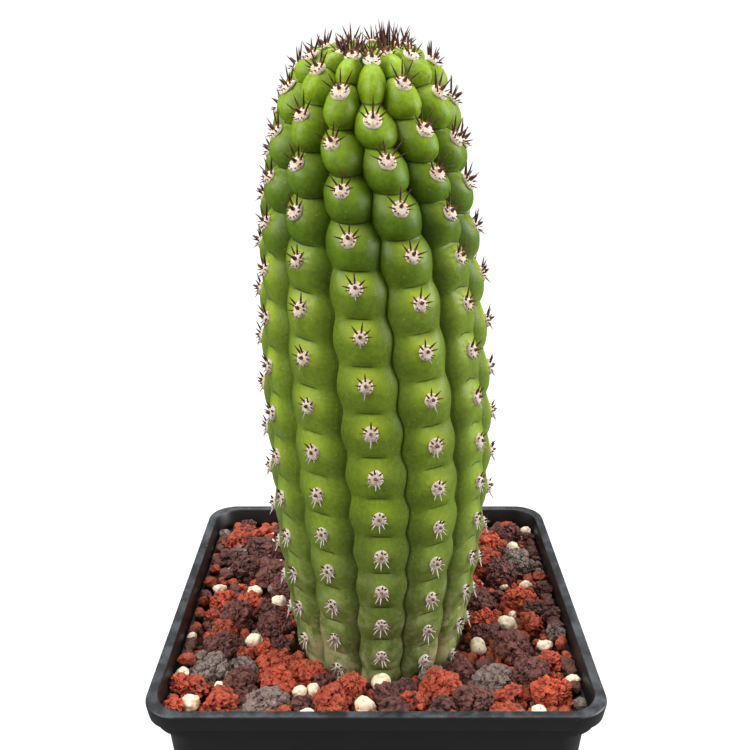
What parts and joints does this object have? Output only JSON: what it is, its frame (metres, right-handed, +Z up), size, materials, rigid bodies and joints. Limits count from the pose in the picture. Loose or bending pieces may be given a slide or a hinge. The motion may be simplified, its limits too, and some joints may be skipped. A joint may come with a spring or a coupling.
{
  "type": "potted tall cactus",
  "caption": "Tall ribbed cactus with woolly areoles and short spines, in a square plastic nursery pot filled with lava and pumice gravel.",
  "frame": {"origin": "centre of the pot's flat base, on the surface it stands on", "axes": "+Z up along the stem, -Y towards the front of the plant, X and Y along the pot's sides"},
  "size_m": [0.13, 0.13, 0.3008],
  "materials": {
    "pot_plastic": "satin black moulded polypropylene with a dusty rim",
    "mineral_gravel": "rough mixed lava, grit and cream pumice, matte",
    "cactus_skin": "waxy green skin with cream wool areoles and dark spines"
  },
  "bodies": {
    "root": {"pot": "pot_plastic", "gravel": "mineral_gravel", "cactus": "cactus_skin"}
  },
  "joints": []
}
